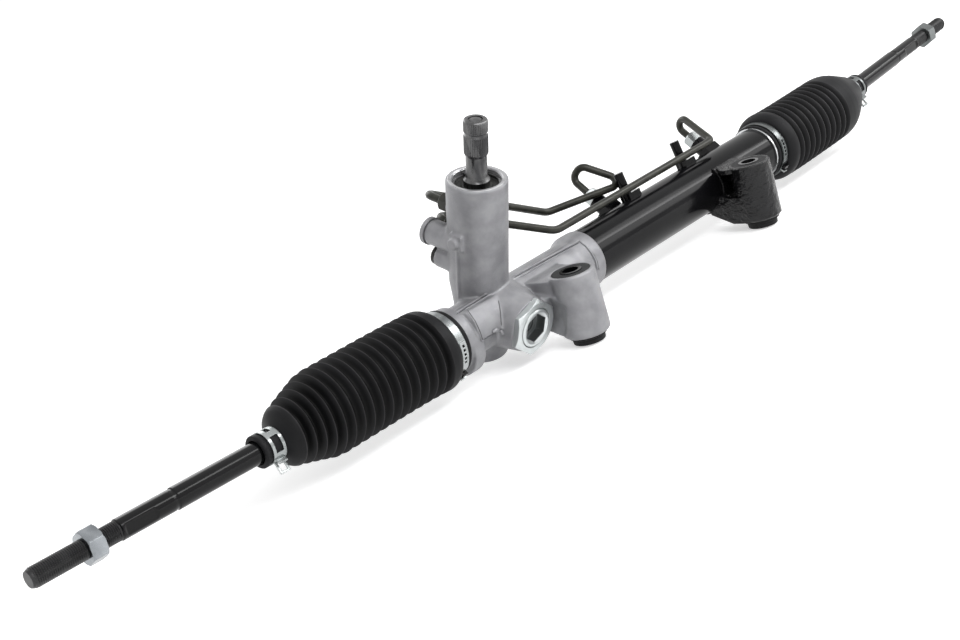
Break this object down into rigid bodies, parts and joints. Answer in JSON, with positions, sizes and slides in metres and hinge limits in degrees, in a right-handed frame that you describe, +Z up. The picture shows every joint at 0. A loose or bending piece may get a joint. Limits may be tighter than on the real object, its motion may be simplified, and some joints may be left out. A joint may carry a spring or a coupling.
{
  "type": "steering rack",
  "caption": "Hydraulic rack-and-pinion steering gear with valve tower, cylinder tube, transfer lines, rubber bellows and threaded tie rods.",
  "frame": {"origin": "centre of the pinion-side mounting bolt hole, half way along its sleeve", "axes": "+X along the rack towards the cylinder end, +Z up along the mounting bolts, -Y towards the mounting side"},
  "size_m": [1.1488, 0.1167, 0.1973],
  "materials": {
    "cast_aluminium": "satin cast",
    "tube_paint": "gloss black",
    "bracket_paint": "semi-gloss black",
    "black_rubber": "matte",
    "zinc": "bright zinc plate",
    "steel": "machined",
    "black_oxide": "black oxide",
    "line_coat": "dark coated steel",
    "seal_polymer": "moulded",
    "seat_polymer": "moulded",
    "hidden_aluminium": "turned",
    "cap_plastic": "moulded",
    "bright_ring": "bright"
  },
  "bodies": {
    "rack_body": {"rack_housing": "cast_aluminium", "cylinder_tube": "tube_paint", "line_post_1": "tube_paint", "line_post_2": "tube_paint", "right_mount_bracket": "bracket_paint", "left_bush_sleeve": "steel", "left_bush_rubber": "black_rubber", "right_bush_sleeve": "steel", "right_bush_rubber": "black_rubber", "inner_bulkhead": "hidden_aluminium", "inner_rack_seal": "seal_polymer", "outer_bulkhead": "hidden_aluminium", "outer_rack_seal": "seal_polymer", "bulkhead_ring": "steel", "tube_end_ring": "bright_ring", "rack_yoke": "hidden_aluminium", "yoke_spring": "steel", "yoke_plug": "zinc", "yoke_locknut": "zinc", "pinion_end_cap": "zinc", "shaft_bearing": "steel", "shaft_seal": "seal_polymer", "snap_ring": "steel", "pressure_port_cap": "cap_plastic", "return_port_plug": "cap_plastic", "upper_bearing_outer": "steel", "lower_bearing_outer": "steel", "upper_transfer_line": "line_coat", "lower_transfer_line": "line_coat", "line_nut_1": "zinc", "line_nut_2": "zinc", "line_nut_3": "zinc", "line_nut_4": "zinc", "near_bellows": "black_rubber", "near_large_clamp": "zinc", "far_bellows": "black_rubber", "far_large_clamp": "zinc"},
    "rack": {"rack_bar": "steel", "piston": "hidden_aluminium", "piston_ring": "seal_polymer", "near_socket": "steel", "far_socket": "steel"},
    "pinion_body": {"pinion": "steel", "pinion_nut": "steel", "valve_sleeve": "steel", "valve_rings": "seal_polymer", "upper_bearing_inner": "steel", "lower_bearing_inner": "steel", "torsion_bar": "steel"},
    "shaft": {"input_shaft": "steel"},
    "near_seat": {"near_ball_seat": "seat_polymer"},
    "near_rod": {"near_tie_rod": "black_oxide", "near_jam_nut": "zinc", "near_small_clamp": "zinc"},
    "far_seat": {"far_ball_seat": "seat_polymer"},
    "far_rod": {"far_tie_rod": "black_oxide", "far_jam_nut": "zinc", "far_small_clamp": "zinc"}
  },
  "joints": [
    {"name": "rack_slide", "type": "slide", "parent": "rack_body", "child": "rack", "axis": [1, 0, 0], "range_m": [-0.06, 0.06], "deforming": ["near_bellows", "far_bellows"]},
    {"name": "pinion_turn", "type": "hinge", "parent": "rack_body", "child": "pinion_body", "pos_m": [-0.044, 0.06205, 0.01735], "axis": [0, -0.3502, 0.9367], "range_deg": [-430, 430]},
    {"name": "valve_twist", "type": "hinge", "parent": "pinion_body", "child": "shaft", "pos_m": [-0.044, 0.04104, 0.07355], "axis": [0, -0.3502, 0.9367], "range_deg": [-5, 5], "stiffness_Nm_per_rad": 57, "deforming": ["torsion_bar"]},
    {"name": "near_ball_dip", "type": "hinge", "parent": "rack", "child": "near_seat", "pos_m": [-0.197, 0.048, 0.0121], "axis": [0, 1, 0], "range_deg": [-8, 8]},
    {"name": "near_ball_yaw", "type": "hinge", "parent": "near_seat", "child": "near_rod", "pos_m": [-0.197, 0.048, 0.0121], "axis": [0, 0, 1], "range_deg": [-8, 8]},
    {"name": "far_ball_dip", "type": "hinge", "parent": "rack", "child": "far_seat", "pos_m": [0.428, 0.048, 0.0121], "axis": [0, 1, 0], "range_deg": [-8, 8]},
    {"name": "far_ball_yaw", "type": "hinge", "parent": "far_seat", "child": "far_rod", "pos_m": [0.428, 0.048, 0.0121], "axis": [0, 0, 1], "range_deg": [-8, 8]}
  ],
  "couplings": [
    {"joint": "pinion_turn", "follows": "rack_slide", "rad_per_m": 125}
  ]
}
